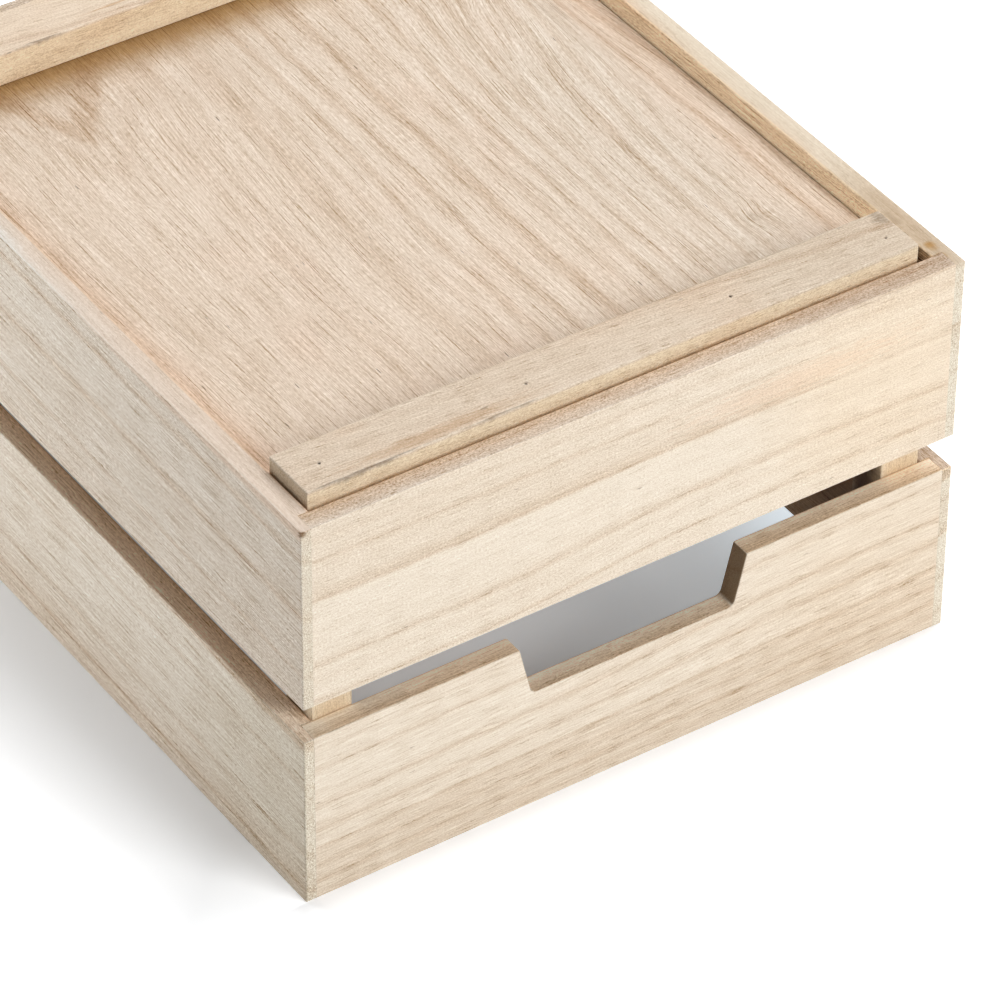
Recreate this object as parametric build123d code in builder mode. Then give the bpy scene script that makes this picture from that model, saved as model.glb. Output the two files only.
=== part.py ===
from build123d import *
import os

# Wooden storage box: an open crate of thin pale boards, standing upside down on its open rim.
# Two tiers of boards are glued to four corner posts, with a gap between the tiers. The base
# panel lies on the ends of the posts, recessed inside the upper tier, and two runners are
# nailed across it. All sizes are in millimetres. +Z is up, the front is at -Y, and the
# origin is the middle of the footprint, on the surface that the rim stands on.

# Overall size of the walls, outside
WIDTH = 300.0
DEPTH = 350.0

# Walls: a rim tier at the open side, a gap for fingers and air, and a base tier
BOARD = 9.5
RIM_BOARD_HEIGHT = 80.0
TIER_GAP = 15.5
BASE_BOARD_HEIGHT = 84.5
BOARD_EASED_EDGE = 0.7

# Corner joint: the rabbet leaves this much of a side board to cover the front board's end
LIP = 4.6

# Hand hole: a notch in the inner edge of the front and back rim boards
HOLE_MOUTH = 105.0
HOLE_FLOOR = 93.6
HOLE_DEPTH = 23.8
HOLE_CORNER = 3.0
HOLE_OFFSET = -0.9

# Corner posts, which stop short of the rim so that a like box's runners can drop in
POST = 18.0
POST_SETBACK = 8.0
POST_EASED_EDGE = 1.2

# Base panel, and how far its face lies below the edge of the base tier
PANEL = 5.0
PANEL_RECESS = 9.0
PANEL_CLEARANCE = 0.6

# Runners across the base panel. The end gaps are the front runner's, to the left and right
RUNNER_WIDTH = 26.0
RUNNER_THICKNESS = 15.0
RUNNER_INSET = 2.6
RUNNER_LEFT_GAP = 1.0
RUNNER_RIGHT_GAP = 4.0
RUNNER_EASED_EDGE = 0.9

# Nails, with their heads sunk in the runners
HEAD_RADIUS = 0.95
HEAD_HEIGHT = 0.8
HEAD_SINK = 0.8
SHANK_RADIUS = 0.6
POINT_LENGTH = 1.4
POINT_RADIUS = 0.1
NAIL_FIT = 0.04
POINT_CLEARANCE = 0.3

# How far a post nail reaches into its post, and the wood that is left below a panel nail
POST_NAIL_BITE = 10.8
PANEL_NAIL_COVER = 1.2

# Nail places in the front runner. A post nail's are measured from the inner faces of its
# post, across the box and along it. A panel nail's are its distance from the runner's end,
# and from the runner's centre line towards the front
LEFT_POST_NAIL = (3.8, 3.0)
RIGHT_POST_NAIL = (5.8, 5.1)
LEFT_PANEL_NAIL = (102.5, 2.6)
RIGHT_PANEL_NAIL = (79.2, 0.5)

# Heights that follow
base_tier_low = RIM_BOARD_HEIGHT + TIER_GAP
wall_top = base_tier_low + BASE_BOARD_HEIGHT
panel_top = wall_top - PANEL_RECESS
panel_under = panel_top - PANEL
runner_top = panel_top + RUNNER_THICKNESS
nail_top = runner_top - HEAD_SINK
post_nail_point = panel_under - POST_NAIL_BITE
panel_nail_point = panel_under + PANEL_NAIL_COVER

# Places inside the walls that follow
inner_x = WIDTH / 2 - BOARD
inner_y = DEPTH / 2 - BOARD
post_face_x = inner_x - POST
post_face_y = inner_y - POST
runner_left = -inner_x + RUNNER_LEFT_GAP
runner_right = inner_x - RUNNER_RIGHT_GAP
runner_front = -inner_y + RUNNER_INSET
runner_centre = ((runner_left + runner_right) / 2, runner_front + RUNNER_WIDTH / 2)

# Outside face of each wall: local X runs to the right as seen from outside, local Y runs up
FRONT = Plane(origin=(0, -DEPTH / 2, 0), x_dir=(1, 0, 0), z_dir=(0, -1, 0))
BACK = Plane(origin=(0, DEPTH / 2, 0), x_dir=(-1, 0, 0), z_dir=(0, 1, 0))
LEFT = Plane(origin=(-WIDTH / 2, 0, 0), x_dir=(0, -1, 0), z_dir=(-1, 0, 0))
RIGHT = Plane(origin=(WIDTH / 2, 0, 0), x_dir=(0, 1, 0), z_dir=(1, 0, 0))

# Each tier's lower and upper edge
TIERS = {"rim": (0.0, RIM_BOARD_HEIGHT), "base": (base_tier_low, wall_top)}

# Corners by their sides in X and Y. The back of the box is its front turned half round,
# so that the posts in opposite corners have their nails in like places
CORNERS = {"front_left": (-1, -1), "front_right": (1, -1), "back_left": (-1, 1), "back_right": (1, 1)}
post_nail_places = {}
for corner, (side_x, side_y) in CORNERS.items():
    across, along = LEFT_POST_NAIL if side_x == side_y else RIGHT_POST_NAIL
    post_nail_places[corner] = (side_x * (post_face_x + across), side_y * (post_face_y + along))

front_panel_nails = [
    (runner_left + LEFT_PANEL_NAIL[0], runner_centre[1] - LEFT_PANEL_NAIL[1]),
    (runner_right - RIGHT_PANEL_NAIL[0], runner_centre[1] - RIGHT_PANEL_NAIL[1]),
]
# The back runner's panel nails are straight behind the front one's
panel_nail_places = front_panel_nails + [(x, -y) for x, y in front_panel_nails]
all_nail_places = list(post_nail_places.values()) + panel_nail_places

os.makedirs("parts", exist_ok=True)

# Front and back boards, which fit between the lips of the side boards
for wall, outside in (("front", FRONT), ("back", BACK)):
    for tier, (low, high) in TIERS.items():
        with BuildPart() as end_board:
            with BuildSketch(outside):
                with Locations((0, (low + high) / 2)):
                    Rectangle(WIDTH - 2 * LIP, high - low)
            extrude(amount=-BOARD)
            fillet(end_board.edges().filter_by(Axis.X), BOARD_EASED_EDGE)
            if tier == "rim":
                with BuildSketch(outside) as hand_hole:
                    with BuildLine():
                        Polyline(
                            (HOLE_OFFSET - HOLE_MOUTH / 2, high),
                            (HOLE_OFFSET - HOLE_FLOOR / 2, high - HOLE_DEPTH),
                            (HOLE_OFFSET + HOLE_FLOOR / 2, high - HOLE_DEPTH),
                            (HOLE_OFFSET + HOLE_MOUTH / 2, high),
                            close=True,
                        )
                    make_face()
                    fillet(hand_hole.vertices().group_by(Axis.Y)[0], HOLE_CORNER)
                extrude(amount=-BOARD, mode=Mode.SUBTRACT)
        end_board.part.label = f"{wall}_{tier}_board"
        export_step(end_board.part, f"parts/{end_board.part.label}.step")

# Side boards, full length, with a rabbet at each end for the front and back boards
for wall, outside in (("left", LEFT), ("right", RIGHT)):
    for tier, (low, high) in TIERS.items():
        with BuildPart() as side_board:
            with BuildSketch(outside):
                with Locations((0, (low + high) / 2)):
                    Rectangle(DEPTH, high - low)
            extrude(amount=-BOARD)
            outer_face = side_board.faces().sort_by(Axis(outside.origin, outside.z_dir))[-1]
            outer_ends = outer_face.edges().filter_by(Axis.Z)
            fillet(side_board.edges().filter_by(Axis.Y) + outer_ends, BOARD_EASED_EDGE)
            with BuildSketch(outside.offset(-LIP)):
                rabbet_middle = (DEPTH - BOARD) / 2
                with Locations((-rabbet_middle, (low + high) / 2), (rabbet_middle, (low + high) / 2)):
                    Rectangle(BOARD, high - low)
            extrude(amount=-(BOARD - LIP), mode=Mode.SUBTRACT)
        side_board.part.label = f"{wall}_{tier}_board"
        export_step(side_board.part, f"parts/{side_board.part.label}.step")

# Corner posts, each with a blind nail hole in its upper end
for corner, (side_x, side_y) in CORNERS.items():
    with BuildPart() as post:
        with BuildSketch(Plane.XY.offset(POST_SETBACK)):
            with Locations((side_x * (inner_x - POST / 2), side_y * (inner_y - POST / 2))):
                Rectangle(POST, POST)
        extrude(amount=panel_under - POST_SETBACK)
        fillet(post.edges().filter_by(Axis.Z), POST_EASED_EDGE)
        with Locations((*post_nail_places[corner], panel_under)):
            Hole(SHANK_RADIUS + NAIL_FIT, depth=POST_NAIL_BITE + POINT_CLEARANCE)
    post.part.label = f"corner_post_{corner}"
    export_step(post.part, f"parts/{post.part.label}.step")

# Base panel, drilled through over the posts and part way for the panel nails
with BuildPart() as base_panel:
    with BuildSketch(Plane.XY.offset(panel_under)):
        Rectangle(2 * (inner_x - PANEL_CLEARANCE), 2 * (inner_y - PANEL_CLEARANCE))
    extrude(amount=PANEL)
    with Locations(*[(x, y, panel_top) for x, y in post_nail_places.values()]):
        Hole(SHANK_RADIUS + NAIL_FIT, depth=PANEL)
    with Locations(*[(x, y, panel_top) for x, y in panel_nail_places]):
        Hole(SHANK_RADIUS + NAIL_FIT, depth=PANEL - PANEL_NAIL_COVER + POINT_CLEARANCE)
base_panel.part.label = "base_panel"
export_step(base_panel.part, "parts/base_panel.step")

# Runners: apart from its panel nails, the back one is the front one turned half round
for wall, turn in (("front", 1), ("back", -1)):
    with BuildPart() as runner:
        with BuildSketch(Plane.XY.offset(panel_top)):
            with Locations((turn * runner_centre[0], turn * runner_centre[1])):
                Rectangle(runner_right - runner_left, RUNNER_WIDTH)
        extrude(amount=RUNNER_THICKNESS)
        fillet(runner.edges().filter_by(Axis.X), RUNNER_EASED_EDGE)
        with Locations(*[(x, y, runner_top) for x, y in all_nail_places if y * turn < 0]):
            CounterBoreHole(
                radius=SHANK_RADIUS + NAIL_FIT,
                counter_bore_radius=HEAD_RADIUS + NAIL_FIT,
                counter_bore_depth=HEAD_SINK + HEAD_HEIGHT,
            )
    runner.part.label = f"{wall}_runner"
    export_step(runner.part, f"parts/{runner.part.label}.step")

# Nails: long ones into the posts, and short ones that hold the runners' middles to the panel
NAIL_KINDS = {
    "post_nails": (list(post_nail_places.values()), post_nail_point),
    "panel_nails": (panel_nail_places, panel_nail_point),
}
BELOW = (Align.CENTER, Align.CENTER, Align.MAX)
ABOVE = (Align.CENTER, Align.CENTER, Align.MIN)
for kind, (places, point) in NAIL_KINDS.items():
    with BuildPart() as nails:
        with Locations(*[(x, y, nail_top) for x, y in places]):
            Cylinder(HEAD_RADIUS, HEAD_HEIGHT, align=BELOW)
            Cylinder(SHANK_RADIUS, nail_top - point - POINT_LENGTH, align=BELOW)
        with Locations(*[(x, y, point) for x, y in places]):
            Cone(POINT_RADIUS, SHANK_RADIUS, POINT_LENGTH, align=ABOVE)
    nails.part.label = kind
    export_step(nails.part, f"parts/{nails.part.label}.step")
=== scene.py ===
import math

import bmesh
import bpy
from mathutils import Matrix, Vector


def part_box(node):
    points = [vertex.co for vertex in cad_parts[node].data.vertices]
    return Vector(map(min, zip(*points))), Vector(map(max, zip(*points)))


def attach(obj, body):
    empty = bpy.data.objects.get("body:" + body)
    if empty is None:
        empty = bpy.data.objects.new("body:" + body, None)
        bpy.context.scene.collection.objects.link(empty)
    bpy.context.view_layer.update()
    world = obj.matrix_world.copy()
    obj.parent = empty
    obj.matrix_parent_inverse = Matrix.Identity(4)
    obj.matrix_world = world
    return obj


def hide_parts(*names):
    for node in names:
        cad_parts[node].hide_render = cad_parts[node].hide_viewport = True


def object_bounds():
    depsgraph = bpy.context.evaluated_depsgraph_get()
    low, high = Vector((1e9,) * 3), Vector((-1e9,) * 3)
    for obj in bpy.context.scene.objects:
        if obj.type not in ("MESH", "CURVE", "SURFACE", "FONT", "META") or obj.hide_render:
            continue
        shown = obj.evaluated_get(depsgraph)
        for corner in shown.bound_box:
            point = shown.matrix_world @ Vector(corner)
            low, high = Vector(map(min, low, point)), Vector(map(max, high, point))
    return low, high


# Wooden storage box, standing upside down on its open rim. The CAD frame gives every piece's
# place. Here each board gets eased and slightly worn edges and its own grain, and the box
# stands on a pale floor in soft light. Shapes and materials are worked out in millimetres, and
# MM turns them into Blender's metres.

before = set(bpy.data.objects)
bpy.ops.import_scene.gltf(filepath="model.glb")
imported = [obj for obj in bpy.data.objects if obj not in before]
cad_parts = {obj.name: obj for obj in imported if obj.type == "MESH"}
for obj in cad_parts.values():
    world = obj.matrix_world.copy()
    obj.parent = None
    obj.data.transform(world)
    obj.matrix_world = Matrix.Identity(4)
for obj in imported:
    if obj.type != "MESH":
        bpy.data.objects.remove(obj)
cad_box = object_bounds()
MM = 0.001


def box_mm(node):
    """A CAD node's lowest and highest corner, in millimetres."""
    low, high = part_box(node)
    return Vector(low) / MM, Vector(high) / MM


rim_low, rim_high = box_mm("front_rim_board")
BOARD_MM = rim_high.y - rim_low.y


def seed_from(name, count):
    """A number below count that a piece or material keeps for its own pattern."""
    return float(sum(map(ord, name)) % count)


def add_object(name, data):
    made = bpy.data.objects.new(name, data)
    bpy.context.collection.objects.link(made)
    return made


def add_mesh(name, bm):
    """An object from a bmesh, which is used up."""
    mesh = bpy.data.meshes.new(name)
    bm.to_mesh(mesh)
    bm.free()
    return add_object(name, mesh)


# Node graphs: short calls for building shader and geometry node trees

class Graph:
    """A node tree, with calls that add a node, set it up and link its inputs."""

    def __init__(self, tree):
        self.tree = tree

    def node(self, kind, inputs=None, **settings):
        node = self.tree.nodes.new(kind)
        for name, value in settings.items():
            setattr(node, name, value)
        for key, value in (inputs or {}).items():
            if isinstance(value, bpy.types.NodeSocket):
                self.tree.links.new(value, node.inputs[key])
            else:
                node.inputs[key].default_value = value
        return node

    def group(self, tree, inputs):
        return self.node("ShaderNodeGroup", inputs, node_tree=tree).outputs

    def give(self, result, values):
        """Links a group's results, and returns its tree."""
        for name, value in values.items():
            self.tree.links.new(value, result[name])
        return self.tree

    def math(self, operation, a, b=0.0):
        return self.node("ShaderNodeMath", {0: a, 1: b}, operation=operation).outputs[0]

    def times(self, a, b):
        return self.math("MULTIPLY", a, b)

    def over(self, a, b):
        return self.math("DIVIDE", a, b)

    def plus(self, base, value, share=None):
        """The base plus the value, or plus a share of the value."""
        return self.math("ADD", base, value if share is None else self.times(value, share))

    def minus(self, base, value, share=None):
        """The base less the value, or less a share of the value."""
        return self.math("SUBTRACT", base, value if share is None else self.times(value, share))

    def clamp(self, value):
        return self.node("ShaderNodeClamp", {0: value}).outputs[0]

    def vector(self, operation, a, b=(0.0, 0.0, 0.0), output=0):
        return self.node("ShaderNodeVectorMath", {0: a, 1: b}, operation=operation).outputs[output]

    def scaled(self, vector, scale):
        inputs = {0: vector, "Scale": scale}
        return self.node("ShaderNodeVectorMath", inputs, operation="SCALE").outputs[0]

    def split(self, vector):
        return self.node("ShaderNodeSeparateXYZ", {0: vector}).outputs

    def split_colour(self, shade):
        return self.node("ShaderNodeSeparateColor", {0: shade}).outputs

    def join(self, x, y, z):
        return self.node("ShaderNodeCombineXYZ", {0: x, 1: y, 2: z}).outputs[0]

    def ramp(self, value, start, end, low=0.0, high=1.0, smooth=True):
        """The value's place between start and end, from low to high."""
        kind = "SMOOTHSTEP" if smooth else "LINEAR"
        inputs = {"Value": value, "From Min": start, "From Max": end, "To Min": low, "To Max": high}
        return self.node("ShaderNodeMapRange", inputs, interpolation_type=kind).outputs[0]

    def noise(self, vector, detail=2.0, roughness=0.55, scale=1.0):
        """Noise about zero, mostly between -1 and 1."""
        inputs = {"Vector": vector, "Scale": scale, "Detail": detail, "Roughness": roughness}
        value = self.node("ShaderNodeTexNoise", inputs).outputs[0]
        return self.ramp(value, 0.25, 0.75, -1.0, 1.0, smooth=False)

    def curve(self, value, points):
        """A smooth line through (value, result) points."""
        low, high = points[0][0], points[-1][0]
        results = [result for _, result in points]
        bottom, top = min(results), max(results)
        node = self.node("ShaderNodeFloatCurve", {"Value": self.ramp(value, low, high, smooth=False)})
        line = node.mapping.curves[0]
        while len(line.points) < len(points):
            line.points.new(0.5, 0.5)
        for point, (at, result) in zip(line.points, points):
            point.location = ((at - low) / (high - low), (result - bottom) / (top - bottom))
        node.mapping.update()
        return self.ramp(node.outputs[0], 0.0, 1.0, bottom, top, smooth=False)

    def mix_value(self, amount, a, b):
        return self.node("ShaderNodeMix", {0: amount, 2: a, 3: b}, data_type="FLOAT").outputs[0]

    def mix(self, amount, a, b, blend="MIX"):
        node = self.node("ShaderNodeMix", {0: amount, 6: a, 7: b}, data_type="RGBA", blend_type=blend)
        return node.outputs[2]

    def tinted(self, shade, tint):
        return self.mix(1.0, shade, tint, "MULTIPLY")


def new_group(name, kind, inputs, outputs):
    """A node group with named sockets. Inputs are name: (type, default)."""
    tree = bpy.data.node_groups.new(name, kind)
    for socket, (socket_type, default) in inputs.items():
        made = tree.interface.new_socket(socket, in_out="INPUT", socket_type="NodeSocket" + socket_type)
        if default is not None:
            made.default_value = default
    for socket, socket_type in outputs.items():
        tree.interface.new_socket(socket, in_out="OUTPUT", socket_type="NodeSocket" + socket_type)
    graph = Graph(tree)
    return graph, graph.node("NodeGroupInput").outputs, graph.node("NodeGroupOutput").inputs


def new_material(name):
    """An empty material and its graph."""
    material = bpy.data.materials.new(name)
    material.use_nodes = True
    material.node_tree.nodes.clear()
    return material, Graph(material.node_tree)


def directly_seen(g):
    """1 for what the camera sees, by itself or in and through glass, and 0 for other light."""
    path = g.node("ShaderNodeLightPath")
    seen = g.math("MAXIMUM", path.outputs["Is Camera Ray"], path.outputs["Is Glossy Ray"])
    return g.math("MAXIMUM", seen, path.outputs["Is Transmission Ray"])


def colour(red, green, blue):
    """A colour given as it looks on screen, from 0 to 255."""
    def linear(value):
        value /= 255.0
        return value / 12.92 if value <= 0.04045 else ((value + 0.055) / 1.055) ** 2.4
    return (linear(red), linear(green), linear(blue), 1.0)


# Shared wood groups. Grain space is (along the grain, across it, depth below the outer face),
# in millimetres. Sizes of marks are (length, width)
WANDER_WIDTH_MM = 45.0
WAVER_MM = (14.0, 4.0)
FRAY_MM = (2.4, 0.8)
PATCH_MM = (130.0, 22.0)
BLOTCH_MM = (55.0, 30.0)
LINE_GAP_MM = (16.0, 1.6)
FUZZ_WIDTH_MM = 0.5
STAIN_AND_PAINTED_LIGHT_EDGE_MM = (9.0, 0.8)
# How many times longer and wider than the fibres the streaks are
STREAK_SIZE = (3.0, 3.2)
# Radius of the grooves and pores in their cells, and the share of it that is full
GROOVE_RADIUS = 0.36
PORE_RADIUS = 0.26
FULL_SHARE = 0.45
# How much the fibres and the fuzz stand up and the lines sink in, where a groove's depth is 1
FIBRE_RISE = 0.35
FUZZ_RISE = 0.3
LINE_SINK = 0.6
# How far a seed of 1 moves each pattern
RING_SHIFT = 7.31
WOOD_SHIFT = 13.7
STAIN_AND_PAINTED_LIGHT_SHIFT = 5.3
# How strongly the texture darkens red, green and blue
TEXTURE_SHARES = (0.78, 1.0, 1.28)


def growth_rings_group():
    """Bends the distance across a board so that its growth rings run as they do in the tree.

    Lean slopes them along the board. Rise lifts them over a stretch of it, not at the height
    Still At and fully at Full At. Slope leans them through the thickness, and Wander, Waver and
    Fray make them uneven on three scales.
    """
    g, given, result = new_group("growth rings", "ShaderNodeTree", {
        "Grain": ("Vector", None),
        "Lean": ("Float", 0.0),
        "Rise": ("Float", 0.0),
        "Rise At": ("Float", 0.0),
        "Rise Over": ("Float", 60.0),
        "Still At": ("Float", -1000.0),
        "Full At": ("Float", -999.0),
        "Slope": ("Float", 0.4),
        "Wander": ("Float", 0.5),
        "Wander Length": ("Float", 90.0),
        "Waver": ("Float", 0.3),
        "Fray": ("Float", 0.2),
        "Seed": ("Float", 0.0),
    }, {"Ring": "Float", "Bent Grain": "Vector"})
    along, across, depth = g.split(given["Grain"])
    start = g.minus(given["Rise At"], given["Rise Over"], 0.5)
    end = g.plus(given["Rise At"], given["Rise Over"], 0.5)
    lift = g.times(given["Rise"], g.ramp(along, start, end))
    lift = g.times(lift, g.ramp(across, given["Still At"], given["Full At"]))
    seed = g.times(given["Seed"], RING_SHIFT)

    def wobble(length, width, detail):
        return g.noise(g.join(g.over(along, length), g.over(across, width), seed), detail)

    ring = g.minus(g.minus(across, along, given["Lean"]), lift)
    ring = g.plus(ring, depth, given["Slope"])
    ring = g.plus(ring, wobble(given["Wander Length"], WANDER_WIDTH_MM, 1.0), given["Wander"])
    ring = g.plus(ring, wobble(*WAVER_MM, 2.0), given["Waver"])
    ring = g.plus(ring, wobble(*FRAY_MM, 1.0), given["Fray"])
    return g.give(result, {"Ring": ring, "Bent Grain": g.join(along, ring, depth)})


def wood_surface_group():
    """Colour and height of bare wood. Rings and streaks are brown, and the fine texture is grey."""
    g, given, result = new_group("wood surface", "ShaderNodeTree", {
        "Grain": ("Vector", None),
        "Line": ("Float", 0.0),
        "Zone": ("Float", 0.0),
        "Blushing": ("Float", 0.0),
        "End Grain": ("Float", 0.0),
        "Inside": ("Float", 0.0),
        "Pale": ("Color", (1.0, 1.0, 1.0, 1.0)),
        "Dark": ("Color", (0.5, 0.4, 0.3, 1.0)),
        "Blush": ("Color", (1.0, 0.9, 0.85, 1.0)),
        "End Colour": ("Color", (0.8, 0.7, 0.6, 1.0)),
        "Inside Colour": ("Color", (0.8, 0.7, 0.6, 1.0)),
        "Pore Colour": ("Color", (0.2, 0.1, 0.05, 1.0)),
        "Patches": ("Float", 0.05),
        "Blotches": ("Float", 0.4),
        "Streaks": ("Float", 0.04),
        "Fibres": ("Float", 0.10),
        "Fibre Width": ("Float", 0.45),
        "Fibre Length": ("Float", 13.0),
        "Fuzz": ("Float", 0.06),
        "Fuzz Length": ("Float", 0.9),
        "Break Up": ("Float", 0.55),
        "Grooves": ("Float", 0.06),
        "Groove Width": ("Float", 0.8),
        "Groove Length": ("Float", 10.0),
        "Groove Share": ("Float", 0.25),
        "Line Grooves": ("Float", 1.0),
        "Roughened": ("Float", 1.5),
        "Texture": ("Float", 1.0),
        "Pores": ("Float", 0.7),
        "Pore Width": ("Float", 0.9),
        "Pore Length": ("Float", 7.0),
        "Pore Share": ("Float", 0.01),
        "End Cover": ("Float", 0.75),
        "Seed": ("Float", 0.0),
    }, {"Color": "Color", "Tone": "Float", "Height": "Float"})
    along, across, depth = g.split(given["Grain"])
    along = g.plus(along, given["Seed"], WOOD_SHIFT)

    def stretched(length, width):
        return g.join(g.over(along, length), g.over(across, width), g.over(depth, width))

    width = given["Fibre Width"]
    length = given["Fibre Length"]
    patches = g.noise(stretched(*PATCH_MM), 2.0)
    blotches = g.ramp(g.noise(stretched(*BLOTCH_MM), 2.0), -0.1, 1.1)
    longer, wider = STREAK_SIZE
    streaks = g.noise(stretched(g.times(length, longer), g.times(width, wider)), 3.0, 0.6)
    fibres = g.noise(stretched(length, width), 1.0, 0.5)
    fuzz = g.noise(stretched(given["Fuzz Length"], FUZZ_WIDTH_MM), 1.0, 0.7)
    gaps = g.ramp(g.noise(stretched(*LINE_GAP_MM), 3.0, 0.6), -0.7, 0.5, 0.0, 1.0)
    line = g.times(given["Line"], g.mix_value(given["Break Up"], 1.0, gaps))

    def dashes(kind, share, radius):
        """Scattered dashes along the grain, in a share of the cells of a stretched honeycomb."""
        cells = g.node("ShaderNodeTexVoronoi", {
            "Vector": stretched(given[kind + " Length"], given[kind + " Width"]),
            "Scale": 1.0,
            "Randomness": 1.0,
        })
        chance = g.split_colour(cells.outputs["Color"])[0]
        shape = g.ramp(cells.outputs["Distance"], radius, radius * FULL_SHARE)
        return g.times(g.math("LESS_THAN", chance, share), shape)

    rings = g.plus(line, given["Zone"], 0.5)
    grooves = dashes("Groove", g.plus(given["Groove Share"], rings, given["Line Grooves"]), GROOVE_RADIUS)
    pores = dashes("Pore", given["Pore Share"], PORE_RADIUS)

    tone = g.plus(given["Zone"], line)
    for layer, amount in ((patches, "Patches"), (streaks, "Streaks")):
        tone = g.plus(tone, layer, given[amount])
    tone = g.clamp(tone)
    texture = 0.0
    for layer, amount in ((fibres, "Fibres"), (fuzz, "Fuzz"), (grooves, "Grooves")):
        texture = g.plus(texture, layer, given[amount])
    texture = g.times(texture, g.plus(1.0, tone, given["Roughened"]))
    texture = g.times(texture, given["Texture"])

    wood = g.mix(tone, given["Pale"], given["Dark"])
    blush = g.clamp(g.plus(given["Blushing"], blotches, given["Blotches"]))
    wood = g.mix(blush, wood, g.tinted(wood, given["Blush"]))
    wood = g.mix(given["Inside"], wood, g.tinted(wood, given["Inside Colour"]))
    ends = g.mix(g.times(tone, 0.6), given["End Colour"], g.tinted(given["End Colour"], given["Dark"]))
    wood = g.mix(g.times(given["End Grain"], given["End Cover"]), wood, ends)
    shadows = [g.minus(1.0, texture, share) for share in TEXTURE_SHARES]
    wood = g.tinted(wood, g.join(*shadows))
    wood = g.mix(g.times(pores, given["Pores"]), wood, given["Pore Colour"])
    height = g.minus(g.times(fibres, FIBRE_RISE), g.math("MAXIMUM", grooves, pores))
    height = g.plus(g.minus(height, line, LINE_SINK), fuzz, FUZZ_RISE)
    return g.give(result, {"Color": wood, "Tone": tone, "Height": height})


def edge_distance_group():
    """Distance in millimetres from the nearest edge of a box-shaped piece."""
    g, given, result = new_group("edge distance", "ShaderNodeTree", {
        "Place": ("Vector", None),
        "Low": ("Vector", None),
        "High": ("Vector", None),
    }, {"Distance": "Float"})
    from_low = g.vector("SUBTRACT", given["Place"], given["Low"])
    from_high = g.vector("SUBTRACT", given["High"], given["Place"])
    x, y, z = g.split(g.vector("MINIMUM", g.vector("ABSOLUTE", from_low), g.vector("ABSOLUTE", from_high)))
    least = g.math("MINIMUM", g.math("MINIMUM", x, y), z)
    most = g.math("MAXIMUM", g.math("MAXIMUM", x, y), z)
    middle = g.minus(g.plus(g.plus(x, y), z), g.plus(least, most))
    return g.give(result, {"Distance": middle})


def stain_and_painted_light_group():
    """A soft, ragged spot with a place and a size in grain space."""
    g, given, result = new_group("stain_and_painted_light", "ShaderNodeTree", {
        "Grain": ("Vector", None),
        "Centre": ("Vector", None),
        "Size": ("Vector", (10.0, 2.0, 10.0)),
        "Ragged": ("Float", 0.5),
        "Seed": ("Float", 0.0),
    }, {"Mask": "Float"})
    offset = g.vector("DIVIDE", g.vector("SUBTRACT", given["Grain"], given["Centre"]), given["Size"])
    distance = g.vector("LENGTH", offset, output=1)
    along, across, _ = g.split(given["Grain"])
    length, width = STAIN_AND_PAINTED_LIGHT_EDGE_MM
    seed = g.times(given["Seed"], STAIN_AND_PAINTED_LIGHT_SHIFT)
    rough = g.noise(g.join(g.over(along, length), g.over(across, width), seed), 4.0, 0.65)
    ragged = g.plus(distance, rough, given["Ragged"])
    return g.give(result, {"Mask": g.ramp(ragged, 1.0, 0.2)})


RINGS = growth_rings_group()
SURFACE = wood_surface_group()
EDGE = edge_distance_group()
STAIN_AND_PAINTED_LIGHT = stain_and_painted_light_group()

AXES = {"X": (1.0, 0.0, 0.0), "Y": (0.0, 1.0, 0.0), "Z": (0.0, 0.0, 1.0)}
ROUGHNESS = 0.62
DARK_ROUGHNESS = 0.12
# A ramp holds 32 stops, enough for this many lines with three each and one beyond either end
LINES_A_RAMP = 9
BEYOND_MM = 30.0
# How softly the rings that grow paler begin and end
FADE_EDGE_MM = 2.0
# Each strong line has a thin core
STRONG_LINE = 0.18
CORE_SHARE = 0.4
CORE_FADES_MM = (0.5, 0.8)
# A painted highlight along the edges: how much paler the wood is there, how far from them it
# reaches, and what it mixes with
EDGE_LIGHT = 0.12
EDGE_REACH_MM = (1.2, 0.2)
EDGE_COLOUR = colour(255, 246, 230)
# How squarely a face looks along the grain to be end grain, and up to be a top
END_FACING = (0.55, 0.9)
TOP_FACING = (0.75, 0.95)


def ramp_along(graph, place, stops):
    """Colours along a distance in millimetres, given as (distance, colour) pairs."""
    stops = sorted(stops, key=lambda stop: stop[0])
    low, high = stops[0][0], stops[-1][0]
    ramp = graph.node("ShaderNodeValToRGB", {0: graph.ramp(place, low, high, smooth=False)})
    elements = ramp.color_ramp.elements
    while len(elements) < len(stops):
        elements.new(0.5)
    for element, (distance, shade) in zip(elements, stops):
        element.position = (distance - low) / (high - low)
        element.color = shade
    return ramp.outputs[0]


def ring_lines(graph, ring, lines):
    """Strength of the thin lines between growth rings: (place, strength, fade below, fade above)."""
    places = {min(line[0] for line in lines) - BEYOND_MM, max(line[0] for line in lines) + BEYOND_MM}
    for place, _, below, above in lines:
        places.update((place - below, place, place + above))

    def strength_at(at):
        total = 0.0
        for place, strength, below, above in lines:
            fade = below if at < place else above
            total += strength * max(0.0, 1.0 - abs(at - place) / fade)
        return min(1.0, total)

    stops = [(place, (strength_at(place),) * 3 + (1.0,)) for place in places]
    return graph.split_colour(ramp_along(graph, ring, stops))[0]


def with_cores(lines):
    """Adds a thin core to each strong line."""
    strong = [(place, strength) for place, strength, _, _ in lines if strength > STRONG_LINE]
    return lines + [(place, CORE_SHARE * strength, *CORE_FADES_MM) for place, strength in strong]


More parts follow.
